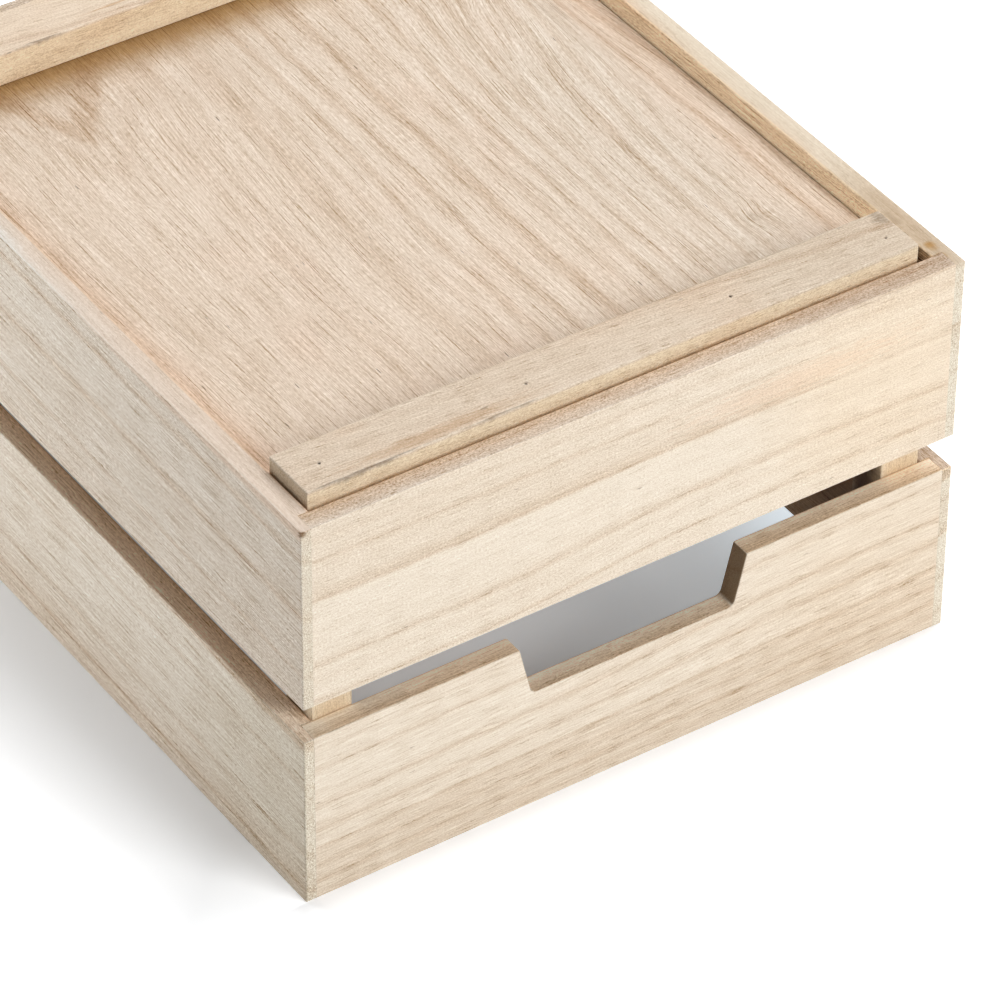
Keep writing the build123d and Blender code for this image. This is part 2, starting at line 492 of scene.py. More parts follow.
def growth(g, ring, along, lines, zones, mark, fade):
    """Strength of the lines and the mark, tone of the zones, and blush of the wood at a ring.

    fade is (from ring, to ring, from and to along, share). Between those rings the wood grows
    paler along the board, by that share in the end.
    """
    line = mark
    for first in range(0, len(lines), LINES_A_RAMP):
        line = g.plus(ring_lines(g, ring, lines[first:first + LINES_A_RAMP]), line)
    stops = [(place, (tone, blush, 0.0, 1.0)) for place, tone, blush in zones]
    zone, blushing, _ = g.split_colour(ramp_along(g, ring, stops))
    if fade:
        first, last, start, end, share = fade
        among = g.times(g.ramp(ring, first - FADE_EDGE_MM, first), g.ramp(ring, last + FADE_EDGE_MM, last))
        kept = g.minus(1.0, among, g.ramp(along, start, end, 0.0, share))
        line = g.times(line, kept)
        zone = g.times(zone, kept)
    return line, zone, blushing


def with_stains_and_painted_light(g, shade, grain, stains_and_painted_light, seed):
    """Tints a shade by soft spots, stains and painted light and shade alike: (centre, size, tint,
    strength), and how ragged if not 0.5.
    """
    for centre, size, tint, strength, *ragged in stains_and_painted_light:
        spot = g.group(STAIN_AND_PAINTED_LIGHT, {
            "Grain": grain,
            "Centre": centre,
            "Size": size,
            "Ragged": ragged[0] if ragged else 0.5,
            "Seed": seed,
        })["Mask"]
        shade = g.mix(g.times(spot, strength), shade, g.tinted(shade, tint))
    return shade


def wood_material(name, node, along, across, outer, lines, zones, field, surface, stains_and_painted_light=(),
                  bump_mm=0.08, bend=None, figure=None, fade=None, inside=(8.2, 9.2), top=None):
    """Bare wood on Object coordinates, with its grain along one axis of the box.

    outer is the axis and place of the face that shows, and the depth is measured from it. bend
    straightens the grain before its rings are drawn, and figure adds a mark to their lines.
    inside gives the depths between which the Inside Colour sets in. top is how the face that
    looks up differs: (texture's share, tint, tone at the outer face, tone at the inner face).
    """
    material, g = new_material(name)
    coordinates = g.node("ShaderNodeTexCoord")
    place = g.scaled(coordinates.outputs["Object"], 1.0 / MM)
    xyz = dict(zip("XYZ", g.split(place)))
    outer_axis, outer_place = outer
    depth = g.math("ABSOLUTE", g.minus(xyz[outer_axis], outer_place))
    grain = g.join(xyz[along], xyz[across], depth)
    seed = seed_from(name, 97)
    straight = bend(g, grain) if bend else grain
    rings = g.group(RINGS, {"Grain": straight, "Seed": seed, **field})
    mark = figure(g, grain) if figure else 0.0
    line, zone, blushing = growth(g, rings["Ring"], xyz[along], lines, zones, mark, fade)

    def facing(axis):
        return g.vector("DOT_PRODUCT", coordinates.outputs["Normal"], AXES[axis], output=1)

    end_grain = g.ramp(g.math("ABSOLUTE", facing(along)), *END_FACING)
    texture, tint = 1.0, (1.0, 1.0, 1.0, 1.0)
    if top:
        top_texture, top_tint, outer_tone, inner_tone = top
        upward = g.ramp(facing("Z"), *TOP_FACING)
        texture = g.mix_value(upward, 1.0, top_texture)
        tint = g.mix(upward, tint, top_tint)
        zone = g.mix_value(upward, zone, g.ramp(depth, 0.0, BOARD_MM, outer_tone, inner_tone))
    wood = g.group(SURFACE, {
        "Grain": rings["Bent Grain"],
        "Texture": texture,
        "Line": line,
        "Zone": zone,
        "Blushing": blushing,
        "End Grain": end_grain,
        "Inside": g.ramp(depth, *inside),
        "Seed": seed,
        **surface,
    })
    low, high = box_mm(node)
    edge = g.group(EDGE, {"Place": place, "Low": low, "High": high})["Distance"]
    # Painted highlight: the wood grows paler close to its edges
    worn = g.ramp(edge, *EDGE_REACH_MM, 0.0, EDGE_LIGHT)
    shade = g.tinted(g.mix(worn, wood["Color"], EDGE_COLOUR), tint)
    shade = with_stains_and_painted_light(g, shade, grain, stains_and_painted_light, seed)
    rough = g.plus(ROUGHNESS, wood["Tone"], DARK_ROUGHNESS)
    bump = g.node("ShaderNodeBump", {"Height": wood["Height"], "Distance": bump_mm * MM, "Strength": 1.0})
    shader = g.node("ShaderNodeBsdfPrincipled", {"Base Color": shade, "Roughness": rough,
                                                 "Normal": bump.outputs[0], "Specular IOR Level": 0.3})
    g.node("ShaderNodeOutputMaterial", {"Surface": shader.outputs[0]})
    return material


# Finishes of the wood, by kind of piece

PLANED = {
    "Pale": colour(252, 239, 220),
    "Dark": colour(194, 155, 110),
    "Blush": colour(252, 238, 228),
    "End Colour": colour(241, 232, 212),
    "Inside Colour": colour(250, 236, 218),
    "Pore Colour": colour(160, 128, 94),
    "Blotches": 0.1,
    "Streaks": 0.03,
    "Fibres": 0.08,
    "Fibre Length": 16.0,
    "Fuzz": 0.17,
    "Grooves": 0.13,
    "Groove Width": 0.62,
    "Groove Length": 14.0,
    "Roughened": 2.5,
}
SIDE = {
    **PLANED,
    "Pale": colour(252, 241, 225),
    "Fibres": 0.19,
    "Fibre Length": 26.0,
    "Fuzz": 0.20,
    "Fuzz Length": 1.7,
    "Grooves": 0.28,
    "Groove Length": 26.0,
    "Groove Share": 0.5,
    "Roughened": 2.0,
}
# The left boards, which lie in shade, get a darker copy of the side wood: painted shade
LEFT_SIDE = {**SIDE, "Pale": colour(243, 232, 217)}
# An inside colour above 1: painted light on the right wall's inner face
RIGHT_SIDE = {**SIDE, "Inside Colour": (1.15, 1.075, 0.925, 1.0)}
RIM_TIER = {**SIDE, "Inside Colour": colour(222, 202, 176)}
NOTCHED = {
    **PLANED,
    "Inside Colour": colour(222, 202, 176),
    "End Colour": colour(150, 122, 88),
    "End Cover": 0.9,
    "Fibres": 0.13,
    "Fuzz": 0.10,
    "Grooves": 0.18,
}
VENEER = {
    "Pale": colour(246, 231, 214),
    "Dark": colour(182, 142, 97),
    "Blush": colour(252, 240, 234),
    "Pore Colour": colour(112, 88, 66),
    "Patches": 0.04,
    "Blotches": 0.25,
    "Streaks": 0.05,
    "Fibres": 0.20,
    "Fibre Width": 0.42,
    "Fibre Length": 30.0,
    "Fuzz": 0.19,
    "Fuzz Length": 3.0,
    "Break Up": 0.45,
    "Grooves": 0.26,
    "Groove Width": 0.8,
    "Groove Length": 36.0,
    "Groove Share": 0.75,
    "Pores": 0.9,
    "Pore Width": 1.0,
    "Pore Length": 9.0,
    "Pore Share": 0.010,
    "Roughened": 1.0,
}
RUNNER_FACE = {
    "Pale": colour(243, 229, 210),
    "Dark": colour(182, 144, 106),
    "Blush": colour(250, 238, 228),
    "End Colour": colour(192, 172, 146),
    # An inside colour above 1: painted light on the runners' sides
    "Inside Colour": (1.13, 1.16, 1.09, 1.0),
    "Pore Colour": colour(116, 96, 78),
    "Fibres": 0.12,
    "Fuzz": 0.18,
    "Streaks": 0.06,
    "Grooves": 0.20,
}
POST_WOOD = {
    "Pale": colour(240, 222, 193),
    "Dark": colour(186, 144, 98),
    "Blush": colour(252, 240, 226),
    "End Colour": colour(196, 164, 122),
    "Inside Colour": colour(255, 255, 255),
    "Pore Colour": colour(140, 104, 68),
    "Fibres": 0.10,
    "Fibre Length": 7.0,
    "Fuzz": 0.18,
    "Streaks": 0.08,
    "Grooves": 0.12,
}

# Growth of each board, in millimetres in the box's frame. Lines are (height, strength, fade
# below, fade above), zones are (height, tone, blush) and change evenly between two heights.
# Lines and blushes past its upper edge show on its upper face, whose tones are in TOPS
BOARDS = {
    "front_base_board": {
        "lines": [(173.4, 0.12, 3, 3), (167.8, 0.08, 1.2, 1.4), (163.6, 0.20, 1.6, 3),
                  (145.2, 0.30, 1.6, 7), (131.5, 0.05, 3, 4), (114.6, 0.28, 2.2, 4.4),
                  (107.5, 0.08, 3.5, 4), (97.8, 0.26, 1.6, 3), (181.2, 0.16, 0.3, 0.7),
                  (182.6, 0.18, 0.5, 0.3), (183.3, 0.14, 0.3, 0.3)],
        "zones": [(90, 0.15, 0), (110, 0.11, 0), (128, 0.07, 0), (143, 0.09, 0),
                  (146, 0.22, 0), (155, 0.20, 0), (163, 0.20, 0), (166, 0.16, 0),
                  (179, 0.20, 0), (180.5, 0.20, 0.4), (184, 0.20, 0.5)],
        "field": {"Rise": 8.8, "Rise At": -22, "Rise Over": 125, "Still At": 166, "Full At": 122},
        "fade": (142, 168, 45, 100, 0.55),
        "stains_and_painted_light": [((72, 156, 0), (70, 9, 20), colour(254, 241, 232), 0.6),
                   ((115, 140, 0), (80, 80, 4), colour(255, 250, 243), 1, 0.1),
                   ((108, 180, 5), (60, 3, 12), colour(238, 235, 233), 1)],
    },
    "front_rim_board": {
        "lines": [(76, 0.12, 1.8, 2.2), (66.4, 0.22, 2.6, 2.8), (54.8, 0.05, 2, 2.5),
                  (48.4, 0.30, 2.6, 3.4), (36.9, 0.28, 3, 4), (27.9, 0.26, 3, 0.8),
                  (23, 0.06, 1.2, 1.2), (18.9, 0.20, 3.4, 3), (11.1, 0.26, 2.8, 3),
                  (4.1, 0.16, 2.8, 3.2)],
        "zones": [(-4, 0.22, 0), (3, 0.23, 0), (27.4, 0.23, 0), (28.6, 0.14, 0),
                  (40, 0.12, 0), (62, 0.09, 0), (79, 0.14, 0), (84, 0.14, 0.2)],
        "field": {"Lean": 0.0155, "Rise": 5.2, "Rise At": 15, "Rise Over": 120, "Still At": 24,
                  "Full At": 45},
        "stains_and_painted_light": [((120, 45, 0), (90, 80, 4), colour(252, 249, 245), 1, 0.1),
                   # Painted shade on the upper face near the left end, in the gap
                   ((-140, 80.6, 5), (60, 1.4, 14), (0.80, 0.88, 0.97, 1), 1, 0.1)],
    },
    "left_base_board": {
        "lines": [(178.5, 0.07, 1.4, 1.2), (171.2, 0.32, 2.6, 3.6), (163, 0.05, 2, 2),
                  (153, 0.06, 2.5, 2.5), (144.2, 0.27, 3.4, 4), (138, 0.09, 1.2, 1.2),
                  (133.6, 0.08, 1.4, 1.4), (126.5, 0.08, 4, 4), (116, 0.22, 2, 2.8),
                  (107.5, 0.09, 5, 5), (98.6, 0.14, 2, 2)],
        "zones": [(90, 0.22, 0.1), (116, 0.22, 0), (143, 0.24, 0), (160, 0.20, 0),
                  (179, 0.22, 0), (181, 0.18, 0.8), (184, 0.26, 1)],
        "field": {"Lean": 0.023},
        "stains_and_painted_light": [((-175, 179.4, 0.6), (2.2, 2.6, 2.4), colour(150, 122, 88), 0.9)],
    },
    "left_rim_board": {
        "lines": [(78.5, 0.08, 1.4, 1.4), (72, 0.04, 4, 4), (62.6, 0.20, 2.4, 3),
                  (54.5, 0.06, 2.2, 2.2), (43.5, 0.05, 3.4, 3.4), (32, 0.05, 2, 2),
                  (27.5, 0.26, 2.4, 3.4), (19.5, 0.05, 2.4, 2.4), (10.5, 0.32, 2, 3),
                  (3.2, 0.11, 1.8, 2)],
        "zones": [(-4, 0.24, 0.2), (10, 0.26, 0.2), (28, 0.20, 0), (62, 0.18, 0),
                  (79.5, 0.20, 0), (80.5, 0.45, 0.3), (84, 0.60, 0.2)],
        "field": {"Lean": 0.022},
        # Painted shade: the outer face darker towards the front end
        "stains_and_painted_light": [((-195, 40, 0), (140, 130, 1.2), colour(240, 240, 236), 1, 0.1),
                   # Painted light and shade on the upper face near the front end, in the gap
                   ((-165, 80.6, 5), (50, 1.4, 14), (0.92, 1.04, 1.22, 1), 1, 0.1)],
    },
    "right_base_board": {
        "lines": [(178.2, 0.18, 1.4, 1.8), (168, 0.24, 3, 2), (150, 0.30, 6, 1.6),
                  (126, 0.24, 2.6, 3), (104, 0.26, 3, 3)],
        "zones": [(90, 0.20, 0), (125, 0.14, 0.1), (149, 0.26, 0.3), (150.5, 0.14, 0),
                  (178, 0.22, 0), (182, 0.30, 0.1), (184, 0.44, 0.8)],
        "field": {"Lean": -0.018, "Wander": 1.2},
        "stains_and_painted_light": [((-159, 180, 5.5), (4, 3, 3.5), colour(230, 200, 142), 0.9),
                   ((-168, 180, 6.5), (3.2, 3, 3.5), colour(224, 196, 150), 0.8),
                   ((-137.5, 180, 7.5), (8, 3, 3), colour(206, 196, 184), 0.6),
                   # Painted shade: the dark slot beside the front runner's end, on the wall's inner face
                   ((-150, 175.5, 9.5), (17, 8, 1.5), colour(84, 60, 38), 1),
                   ((-148, 180, 5), (70, 3, 12), colour(229, 221, 212), 1, 0.2)],
    },
    "right_rim_board": {
        "lines": [(70, 0.22, 2, 3), (52, 0.28, 1.4, 6), (30, 0.26, 2, 3),
                  (12, 0.26, 2, 3)],
        "zones": [(-4, 0.22, 0.2), (29, 0.14, 0), (51, 0.14, 0), (52, 0.34, 0.3),
                  (79.5, 0.20, 0), (80.5, 0.70, 0.3), (84, 0.70, 0.3)],
        "field": {"Lean": 0.022, "Wander": 1.2},
        # Painted shade on the inner face, deep inside the box
        "stains_and_painted_light": [((-110, 60, 9.5), (120, 90, 2), colour(170, 150, 130), 1, 0.2),
                   # Painted light on the upper face near the front end, in the gap
                   ((-178, 80.6, 4), (45, 1.4, 14), (1.65, 1.66, 1.55, 1), 1, 0.1)],
    },
    "back_base_board": {
        "lines": [(170, 0.20, 2, 3), (158, 0.20, 2, 3), (139, 0.30, 6, 1.4),
                  (120, 0.24, 3, 2), (106, 0.26, 3, 2)],
        "zones": [(90, 0.16, 0), (126, 0.28, 0.3), (139, 0.36, 0.2), (140, 0.12, 0),
                  (178, 0.18, 0), (181, 0.50, 0.4), (184, 0.60, 0.5)],
        "field": {"Lean": -0.01, "Rise": -6, "Rise At": 30, "Rise Over": 110, "Wander": 1},
    },
    "back_rim_board": {
        "lines": [(66, 0.20, 3, 1.6), (50, 0.30, 1.4, 6), (31, 0.24, 2, 3.4),
                  (18, 0.20, 2, 3), (6, 0.24, 2, 3)],
        "zones": [(-4, 0.20, 0.2), (49.5, 0.12, 0), (50.5, 0.34, 0.3), (66, 0.26, 0.3),
                  (78, 0.16, 0), (82, 0.52, 0.3)],
        "field": {"Lean": 0.012, "Rise": 5, "Rise At": 10, "Rise Over": 120, "Wander": 1},
    },
}
# Outer face of each wall
(left_x, front_y, _), (right_x, back_y, _) = (corner / MM for corner in cad_box)
OUTSIDE = {"front": ("Y", front_y), "back": ("Y", back_y), "left": ("X", left_x), "right": ("X", right_x)}


# Meshes. A board is an outline pushed through its thickness, cut into a grid and bevelled.
# Its edges are eased by EASE_MM, and those within TOUCH_MM of a joint by a share of it. Places
# are rounded to DIGITS decimals
GRID_MM = 3.5
DIGITS = 4
TOUCH_MM = 0.01
EASE_MM = 0.7
JOINT_EASE = 0.18
EASE_STEPS = 3
SHARP_DEGREES = 20.0


def cut_grid(bm, step):
    """Cuts a solid by planes about a step apart, away from its own corners."""
    for index in range(3):
        corners = sorted({round(v.co[index], DIGITS) for v in bm.verts})
        for start, end in zip(corners, corners[1:]):
            count = max(1, round((end - start) / step))
            for i in range(1, count):
                normal = Vector((0, 0, 0))
                normal[index] = 1.0
                place = normal * (start + (end - start) * i / count)
                everything = bm.verts[:] + bm.edges[:] + bm.faces[:]
                bmesh.ops.bisect_plane(bm, geom=everything, plane_co=place, plane_no=normal)


def in_order(bm):
    """The same solid with its corners and faces sorted by place, so that every run is alike."""
    places = {v: tuple(round(c, DIGITS) for c in v.co) for v in bm.verts}
    corners = sorted(bm.verts, key=places.get)
    ranks = {v: rank for rank, v in enumerate(corners)}
    rings = [[ranks[v] for v in face.verts] for face in bm.faces]
    made = bmesh.new()
    verts = [made.verts.new(places[v]) for v in corners]
    for ring in sorted(rings, key=sorted):
        made.faces.new([verts[rank] for rank in ring])
    made.normal_update()
    bm.free()
    return made


def solid(outline, axis, low, high):
    """A gridded bmesh of an outline in the plane across the axis, between two places on it."""
    index = "XYZ".index(axis)
    bm = bmesh.new()
    corners = []
    for a, b in outline:
        place = [a, b]
        place.insert(index, low)
        corners.append(bm.verts.new(place))
    face = bm.faces.new(corners)
    step = Vector((0, 0, 0))
    step[index] = high - low
    pushed = bmesh.ops.extrude_face_region(bm, geom=[face])["geom"]
    bmesh.ops.translate(bm, verts=[v for v in pushed if isinstance(v, bmesh.types.BMVert)], vec=step)
    bmesh.ops.recalc_face_normals(bm, faces=bm.faces)
    cut_grid(bm, GRID_MM)
    return in_order(bm)


def weigh_edges(bm, joints):
    """Marks sharp edges for the bevel: full on open edges, slight on those in a joint."""
    weight = bm.edges.layers.float.new("bevel_weight_edge")
    for edge in bm.edges:
        if len(edge.link_faces) == 2 and edge.calc_face_angle() > math.radians(SHARP_DEGREES):
            in_joint = any(all(abs(v.co["XYZ".index(axis)] - place) < TOUCH_MM for v in edge.verts)
                           for axis, place in joints)
            edge[weight] = JOINT_EASE if in_joint else 1.0


# Waves to a metre in the faces' unevenness and in the edges' nibbles
UNEVEN_WAVES = 14.0
NIBBLE_WAVES = 170.0


def worn_timber_group():
    """Geometry nodes that make a board's faces and edges uneven and chip a corner."""
    g, given, result = new_group("worn timber", "GeometryNodeTree", {
        "Geometry": ("Geometry", None),
        "Unevenness": ("Float", 0.1 * MM),
        "Nibbles": ("Float", 0.05 * MM),
        "Chip Centre": ("Vector", (0.0, 0.0, -1.0)),
        "Chip Radius": ("Float", 0.002),
        "Chip Push": ("Vector", (0.0, 0.0, 0.0)),
        "Low": ("Vector", (-1.0, -1.0, -1.0)),
        "High": ("Vector", (1.0, 1.0, 1.0)),
        "Material": ("Material", None),
        "Seed": ("Float", 0.0),
    }, {"Geometry": "Geometry"})
    place = g.node("GeometryNodeInputPosition").outputs[0]

    def wobble(scale, amount):
        inputs = {"Vector": place, "W": given["Seed"], "Scale": scale, "Detail": 1.0}
        noise = g.node("ShaderNodeTexNoise", inputs, noise_dimensions="4D")
        centred = g.vector("SUBTRACT", noise.outputs["Color"], (0.5, 0.5, 0.5))
        return g.scaled(centred, g.times(amount, 2.0))

    chip_distance = g.vector("DISTANCE", place, given["Chip Centre"], output=1)
    chip = g.scaled(given["Chip Push"], g.ramp(chip_distance, given["Chip Radius"], 0.0))
    uneven = wobble(UNEVEN_WAVES, given["Unevenness"])
    nibbled = wobble(NIBBLE_WAVES, given["Nibbles"])
    offset = g.vector("ADD", g.vector("ADD", uneven, nibbled), chip)
    kept = g.vector("MAXIMUM", g.vector("ADD", place, offset), given["Low"])
    kept = g.vector("MINIMUM", kept, given["High"])
    moved = g.node("GeometryNodeSetPosition", {"Geometry": given["Geometry"], "Position": kept})
    return g.give(result, {"Geometry": made_real(g, moved, given["Material"])})


def made_real(g, node, material):
    """Ends a geometry tree: real meshes, with the material set."""
    real = g.node("GeometryNodeRealizeInstances", {0: node.outputs[0]})
    inputs = {"Geometry": real.outputs[0], "Material": material}
    return g.node("GeometryNodeSetMaterial", inputs).outputs[0]


def add_group(blank, name, group, values):
    """Adds a geometry group to an object as a modifier, with its inputs' values."""
    modifier = blank.modifiers.new(name, "NODES")
    modifier.node_group = group
    for socket in group.interface.items_tree:
        if socket.in_out == "INPUT" and socket.name in values:
            modifier[socket.identifier] = values[socket.name]


def made_plain(blank, name):
    """Turns an object and its modifiers into a plain piece."""
    view = bpy.context.evaluated_depsgraph_get()
    mesh = bpy.data.meshes.new_from_object(blank.evaluated_get(view))
    bpy.data.objects.remove(blank)
    mesh.name = name
    return add_object(name, mesh)


WORN = worn_timber_group()


def finished(node, bm, material, wear=None, cuts=()):
    """Turns a millimetre bmesh into a finished piece: bevelled, drilled, worn and shaded."""
    name = node + "_dressed"
    bmesh.ops.scale(bm, verts=bm.verts, vec=(MM, MM, MM))
    blank = add_mesh(name + "_draft", bm)
    bevel = blank.modifiers.new("eased edges", "BEVEL")
    bevel.limit_method = "WEIGHT"
    bevel.width = EASE_MM * MM
    bevel.segments = EASE_STEPS
    for cutter in cuts:
        cut = blank.modifiers.new("drilled", "BOOLEAN")
        cut.object = cutter
        cut.solver = "EXACT"
    low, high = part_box(node)
    values = {"Low": low, "High": high, "Material": material, "Seed": seed_from(name, 31)}
    add_group(blank, "worn", WORN, {**values, **(wear or {})})
    normals = blank.modifiers.new("flat faces", "WEIGHTED_NORMAL")
    normals.keep_sharp = False
    blank.data.polygons.foreach_set("use_smooth", [True] * len(blank.data.polygons))
    return made_plain(blank, name)


def rectangle(low_a, low_b, high_a, high_b):
    return [(low_a, low_b), (high_a, low_b), (high_a, high_b), (low_a, high_b)]


# Hand holes: notches in the inner edge of the front and back rim boards
HOLE_MOUTH_MM = 105.0
HOLE_FLOOR_MM = 93.6
HOLE_DEPTH_MM = 23.8
HOLE_CORNER_MM = 3.0
HOLE_OFFSET_MM = -0.9
HOLE_MOUTH_ROUND_MM = 1.0
ARC_STEP_DEGREES = 18.0


def rounded(outline, radii):
    """Replaces corners of an outline by arcs. A radius of zero leaves the corner."""
    result = []
    count = len(outline)
    for i, radius in enumerate(radii):
        corner = Vector(outline[i])
        if radius == 0.0:
            result.append(tuple(corner))
            continue
        before = (Vector(outline[i - 1]) - corner).normalized()
        after = (Vector(outline[(i + 1) % count]) - corner).normalized()
        half = before.angle(after) / 2
        reach = radius / math.tan(half)
        centre = corner + (before + after).normalized() * (radius / math.sin(half))
        first = corner + before * reach - centre
        last = corner + after * reach - centre
        turn = first.angle_signed(last)
        steps = max(3, round(abs(math.degrees(turn)) / ARC_STEP_DEGREES))
        for k in range(steps + 1):
            spoke = first.copy()
            spoke.rotate(Matrix.Rotation(-turn * k / steps, 2))
            result.append(tuple(centre + spoke))
    return result


def end_board(node, turn, notched):
    """A front or back board. Turn is 1 at the front and -1 at the back."""
    low, high = box_mm(node)
    outline = rectangle(low.x, low.z, high.x, high.z)
    if notched:
        middle = turn * HOLE_OFFSET_MM
        floor = high.z - HOLE_DEPTH_MM
        notch = [(middle + HOLE_MOUTH_MM / 2, high.z), (middle + HOLE_FLOOR_MM / 2, floor),
                 (middle - HOLE_FLOOR_MM / 2, floor), (middle - HOLE_MOUTH_MM / 2, high.z)]
        outline = outline[:3] + notch + outline[3:]
        half = [0.0, HOLE_MOUTH_ROUND_MM, HOLE_CORNER_MM]
        outline = rounded(outline, [0.0, 0.0] + half + half[::-1])
    bm = solid(outline, "Y", low.y, high.y)
    weigh_edges(bm, [("X", low.x), ("X", high.x)])
    return bm


def side_board(node, side):
    """A left or right board, with a rabbet at each end. Side is -1 at the left, 1 at the right."""
    low, high = box_mm(node)
    front_low, front_high = box_mm("front_base_board")
    lip = front_low.x - low.x if side < 0 else high.x - front_high.x
    outer = side * max(abs(low.x), abs(high.x))
    inner = side * min(abs(low.x), abs(high.x))
    lip_face = outer - side * lip
    shoulder = -front_high.y
    end = high.y
    outline = [(outer, -end), (lip_face, -end), (lip_face, -shoulder), (inner, -shoulder),
               (inner, shoulder), (lip_face, shoulder), (lip_face, end), (outer, end)]
    bm = solid(outline, "Z", low.z, high.z)
    weigh_edges(bm, [("X", lip_face), ("Y", shoulder), ("Y", -shoulder)])
    return bm


def dress(node, bm, material, wear=None, cuts=()):
    piece = finished(node, bm, material, wear, cuts)
    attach(piece, "root")
    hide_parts(node)
    return piece


# The nick in the front left upper corner, as in the photograph
corner_low, corner_high = box_mm("left_base_board")
BOARD_WEAR = {
    "left_base_board": {
        "Chip Centre": (corner_low.x * MM, corner_low.y * MM, corner_high.z * MM),
        "Chip Radius": 2.4 * MM,
        "Chip Push": (0.7 * MM, 0.9 * MM, -0.8 * MM),
    },
}

# How the boards' upper faces differ: (texture's share, tint, tone at the outer and inner face).
# On the rim boards, whose upper faces lie in the gap, these tints and tones are painted shade and light
TOPS = {
    "front_base_board": (1.1, (0.94, 1.01, 1.12, 1.0), 0.46, 0.62),
    "back_base_board": (1.1, (0.94, 1.01, 1.12, 1.0), 0.46, 0.62),
    "front_rim_board": (1.0, (1.18, 1.17, 1.14, 1.0), 0.60, 0.10),
    "back_rim_board": (1.0, (1.18, 1.17, 1.14, 1.0), 0.60, 0.10),
    "left_base_board": (0.45, (1.02, 1.11, 1.22, 1.0), 0.18, 0.26),
    "right_base_board": (0.30, (1.0, 1.02, 1.01, 1.0), 0.28, 0.36),
    "left_rim_board": (0.8, (1.18, 1.10, 1.0, 1.0), 0.30, 0.60),
    "right_rim_board": (0.8, (0.62, 0.64, 0.72, 1.0), 0.50, 0.50),
}

for name, look in BOARDS.items():
    wall, tier = name.split("_")[:2]
    end_wall = wall in ("front", "back")
    if end_wall:
        along = "X"
        finish = PLANED if tier == "base" else NOTCHED
    else:
        along = "Y"
        upper = LEFT_SIDE if wall == "left" else RIGHT_SIDE
        finish = upper if tier == "base" else RIM_TIER
    material = wood_material(name.replace("_", " "), name, along, "Z", OUTSIDE[wall],
                             with_cores(look["lines"]), look["zones"], look["field"], finish,
                             look.get("stains_and_painted_light", ()), fade=look.get("fade"), top=TOPS[name])
    if end_wall:
        shape = end_board(name, 1 if wall == "front" else -1, tier == "rim")
    else:
        shape = side_board(name, -1 if wall == "left" else 1)
    dress(name, shape, material, BOARD_WEAR.get(name))

# Corner posts, with their growth measured from their left faces. The front ones get painted
# shade on those faces, which show through the gap
POST_LINES = [(5, 0.09, 1, 2), (12, 0.09, 1, 2)]
POST_ZONES = [(0, 0.08, 0), (8, 0.16, 0.4), (18, 0.08, 0)]
POST_BUMP_MM = 0.15

for end in ("front", "back"):
    for side in ("left", "right"):
        name = f"corner_post_{end}_{side}"
        low, high = box_mm(name)
        lines = [(low.x + place, *line) for place, *line in POST_LINES]
        zones = [(low.x + place, *zone) for place, *zone in POST_ZONES]
        # Painted shade on the left face of a front post, in the gap
        painted_shade_left_face = ((70.0, low.x, 11.5), (60.0, 2.5, 12.0), colour(112, 88, 62), 1.0, 0.2)
        material = wood_material(name.replace("_", " "), name, "Z", "X", ("Y", low.y), lines, zones,
                                 {"Wander": 1.0}, POST_WOOD, [painted_shade_left_face] if end == "front" else [],
                                 bump_mm=POST_BUMP_MM)
        shape = solid(rectangle(low.x, low.y, high.x, high.y), "Z", low.z, high.z)
        weigh_edges(shape, [])
        dress(name, shape, material)

# Base panel: the CAD sheet stays, and gets its veneer

# How far its lines bow: a share at each place along the panel, and millimetres across it
BOW_SHARES = [(-175, 0), (-50, 0), (-10, 0.13), (30, 0.36), (70, 0.67), (110, 0.95), (175, 1.05)]
BOW_MM = [(-140, 0), (-80, 6), (-25, 14), (-3, 9), (10, 6), (27, 5), (45, 7), (63, 10), (76, 13.5),
          (92, 18.5), (104, 22.5), (112, 22.5), (119, 10), (126, -6), (133, -14), (141, -15)]
# Small swirls, where the grain parts: (place along, across), and their radius and push
SWIRLS_MM = [((-98, 106), 13, 1.9), ((93, 14), 12, 1)]
# The brown V at the far left: its axis across the panel and its tip along it, how fast its arms
# open to the right and left, how far from the axis it ends, and its frayed edges and tones
V_AXIS_MM = -82.5
V_TIP_MM = 84.0
V_RIGHT_ARM = 1.45
V_LEFT_ARM = 2.4
V_SIDES_MM = (36.0, 20.0)
V_FRAY_MM = (9.0, 1.1)
V_FRAY = 3.5
V_TONES = [(-50, 0), (-34, 0.03), (-24, 0.14), (-14, 0.04), (-5, 0.12), (3, 0.38), (13, 0.34), (22, 0.07),
           (60, 0)]


def veneer_bend(g, grain):
    """Straightens the veneer's grain: its lines bow at the far end, and part round the swirls."""
    along, across, depth = g.split(grain)
    straight = g.minus(across, g.curve(along, BOW_SHARES), g.curve(across, BOW_MM))
    for (swirl_along, swirl_across), radius, push in SWIRLS_MM:
        away = g.vector("DISTANCE", g.join(along, across, 0.0), (swirl_along, swirl_across, 0.0), output=1)
        straight = g.plus(straight, g.ramp(away, radius, 0.0, 0.0, push))
    return g.join(along, straight, depth)


def veneer_cathedral(g, grain):
    """The brown V, with a fainter one in front of it, at the far left of the veneer."""
    along, across, _ = g.split(grain)
    aside = g.minus(across, V_AXIS_MM)
    right = g.math("MAXIMUM", aside, 0.0)
    left = g.math("MAXIMUM", g.times(aside, -1.0), 0.0)
    fork = g.minus(g.minus(along, V_TIP_MM), right, V_RIGHT_ARM)
    fork = g.minus(fork, left, V_LEFT_ARM)
    length, width = V_FRAY_MM
    frayed = g.noise(g.join(g.over(along, length), g.over(across, width), 3.0), 2.0)
    tone = g.curve(g.plus(fork, frayed, V_FRAY), V_TONES)
    return g.times(tone, g.ramp(g.math("ABSOLUTE", aside), *V_SIDES_MM))


